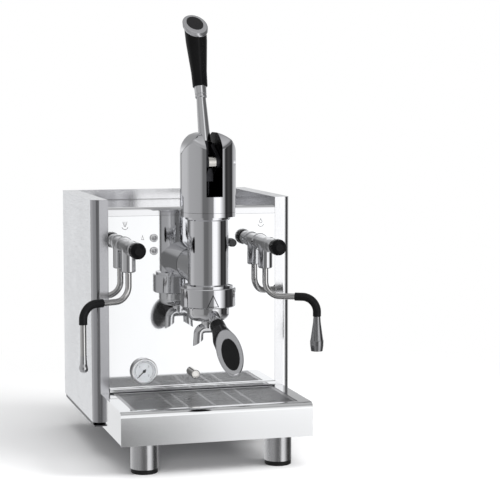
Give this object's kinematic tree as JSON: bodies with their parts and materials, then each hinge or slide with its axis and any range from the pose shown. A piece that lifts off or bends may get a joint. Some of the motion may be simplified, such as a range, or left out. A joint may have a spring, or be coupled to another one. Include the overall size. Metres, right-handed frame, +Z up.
{
  "type": "espresso machine",
  "caption": "Spring-lever espresso machine in polished steel, with a portafilter, a steam wand, a hot water wand, a slotted drip tray, a boiler and a water tank.",
  "frame": {"origin": "on the worktop, at the centre of the whole machine's footprint, wands and portafilter handle included", "axes": "+X to the user's right when facing the machine, +Y to the back, +Z up"},
  "size_m": [0.3981, 0.528, 0.7086],
  "materials": {
    "side_sheet": "mirror-polished stainless sheet",
    "back_sheet": "satin stainless sheet",
    "screw_steel": "plated",
    "front_sheet": "mirror-polished stainless sheet",
    "deck_sheet": "polished stainless sheet",
    "base_sheet": "satin black",
    "tray_sheet": "polished stainless sheet",
    "grate_steel": "brushed",
    "foot_chrome": "turned, satin",
    "pad_rubber": "moulded",
    "group_chrome": "chromed brass",
    "inner_brass": "machined",
    "housing_chrome": "chromed brass",
    "inner_steel": "ground",
    "spring_steel": "oiled spring steel",
    "screen_steel": "perforated stainless",
    "gasket_rubber": "moulded",
    "pin_steel": "ground",
    "fork_steel": "machined",
    "rod_chrome": "chromed",
    "ferrule_chrome": "chromed",
    "grip_plastic": "gloss black",
    "cap_satin": "satin chrome",
    "badge_plastic": "gloss black, bare",
    "filter_chrome": "chromed brass",
    "basket_steel": "pressed stainless",
    "spout_chrome": "chromed brass",
    "valve_chrome": "chromed brass",
    "knob_plastic": "gloss black",
    "wand_steel": "polished stainless tube",
    "sleeve_rubber": "moulded",
    "tip_steel": "turned",
    "spray_steel": "turned, dark",
    "gauge_chrome": "chromed",
    "gauge_paint": "printed card",
    "needle_paint": "matt black",
    "gauge_glass": "clear",
    "lamp_chrome": "chromed bezel with a clear lens",
    "switch_plastic": "black",
    "drain_chrome": "chromed",
    "boiler_copper": "drawn copper",
    "tank_plastic": "clear moulded",
    "pump_paint": "satin",
    "stat_plastic": "moulded",
    "pipe_copper": "drawn copper",
    "inlet_plastic": "moulded"
  },
  "bodies": {
    "machine": {"left_side_panel": "side_sheet", "right_side_panel": "side_sheet", "back_panel": "back_sheet", "panel_screws": "screw_steel", "front_panel": "front_sheet", "base_frame": "base_sheet", "foot_front_left": "foot_chrome", "foot_front_right": "foot_chrome", "foot_rear_left": "foot_chrome", "foot_rear_right": "foot_chrome", "foot_pads": "pad_rubber", "group_body": "group_chrome", "cylinder_liner": "inner_brass", "lever_housing": "housing_chrome", "shower_screen": "screen_steel", "group_gasket": "gasket_rubber", "pivot_pin": "pin_steel", "steam_valve_body": "valve_chrome", "water_valve_body": "valve_chrome", "gauge_case": "gauge_chrome", "gauge_face": "gauge_paint", "gauge_glass": "gauge_glass", "lamp_power": "lamp_chrome", "lamp_heating": "lamp_chrome", "drain_outlet": "drain_chrome", "boiler": "boiler_copper", "pump": "pump_paint", "pressurestat": "stat_plastic", "pipework": "pipe_copper", "power_inlet": "inlet_plastic"},
    "lever": {"lever_fork": "fork_steel", "lever_roller": "pin_steel", "lever_rod": "rod_chrome", "lever_ferrule": "ferrule_chrome", "lever_grip": "grip_plastic", "lever_cap": "cap_satin", "lever_badge": "badge_plastic"},
    "plunger": {"piston": "inner_brass", "piston_rod": "inner_steel", "main_spring": "spring_steel"},
    "portafilter": {"portafilter_body": "filter_chrome", "filter_basket": "basket_steel", "portafilter_spout": "spout_chrome", "portafilter_grip": "grip_plastic", "portafilter_cap": "cap_satin", "portafilter_badge": "badge_plastic"},
    "steam_knob": {"steam_valve_knob": "knob_plastic"},
    "water_knob": {"water_valve_knob": "knob_plastic"},
    "steam_arm": {"steam_wand": "wand_steel", "steam_wand_sleeve": "sleeve_rubber", "steam_wand_tip": "tip_steel"},
    "water_arm": {"water_wand": "wand_steel", "water_wand_sleeve": "sleeve_rubber", "water_wand_tip": "spray_steel"},
    "tray": {"drip_tray": "tray_sheet"},
    "grate": {"drip_grate": "grate_steel"},
    "deck": {"cup_tray": "deck_sheet"},
    "tank": {"water_tank": "tank_plastic"},
    "switch": {"power_switch": "switch_plastic"},
    "needle": {"gauge_needle": "needle_paint"}
  },
  "joints": [
    {"name": "lever_pull", "type": "hinge", "parent": "machine", "child": "lever", "pos_m": [0, -0.133, 0.478], "axis": [1, 0, 0], "range_deg": [0, 90], "stiffness_Nm_per_rad": 12, "springref_deg": -11.46},
    {"name": "plunger_slide", "type": "slide", "parent": "machine", "child": "plunger", "axis": [0, 0, 1], "range_m": [0, 0.0369], "deforming": ["main_spring"]},
    {"name": "portafilter_lock", "type": "hinge", "parent": "machine", "child": "portafilter", "pos_m": [0, -0.111, 0.26], "axis": [0, 0, 1], "range_deg": [-45, 0]},
    {"name": "steam_valve_turn", "type": "hinge", "parent": "machine", "child": "steam_knob", "pos_m": [-0.113, -0.111, 0.3425], "axis": [0, -1, 0], "range_deg": [0, 540]},
    {"name": "water_valve_turn", "type": "hinge", "parent": "machine", "child": "water_knob", "pos_m": [0.113, -0.111, 0.3425], "axis": [0, -1, 0], "range_deg": [0, 540]},
    {"name": "steam_arm_swivel", "type": "hinge", "parent": "machine", "child": "steam_arm", "pos_m": [-0.113, -0.045, 0.31], "axis": [0, 0, 1], "range_deg": [-30, 60]},
    {"name": "water_arm_swivel", "type": "hinge", "parent": "machine", "child": "water_arm", "pos_m": [0.113, -0.045, 0.31], "axis": [0, 0, -1], "range_deg": [-30, 60]},
    {"name": "tray_slide", "type": "slide", "parent": "machine", "child": "tray", "axis": [0, -1, 0], "range_m": [0, 0.17]},
    {"name": "grate_lift", "type": "slide", "parent": "tray", "child": "grate", "axis": [0, 0, 1], "range_m": [0, 0.012]},
    {"name": "deck_lift", "type": "slide", "parent": "machine", "child": "deck", "axis": [0, 0, 1], "range_m": [0, 0.24]},
    {"name": "tank_lift", "type": "slide", "parent": "machine", "child": "tank", "axis": [0, 0, 1], "range_m": [0, 0.216]},
    {"name": "switch_turn", "type": "hinge", "parent": "machine", "child": "switch", "pos_m": [0.0645, -0.013, 0.3425], "axis": [0, 1, 0], "range_deg": [0, 90]},
    {"name": "needle_turn", "type": "hinge", "parent": "machine", "child": "needle", "pos_m": [-0.0825, -0.013, 0.1375], "axis": [0, 1, 0], "range_deg": [0, 270]}
  ],
  "couplings": [
    {"joint": "plunger_slide", "follows": "lever_pull", "m_per_rad": 0.023408},
    {"joint": "tank_lift", "follows": "deck_lift", "ratio": 0.9}
  ]
}
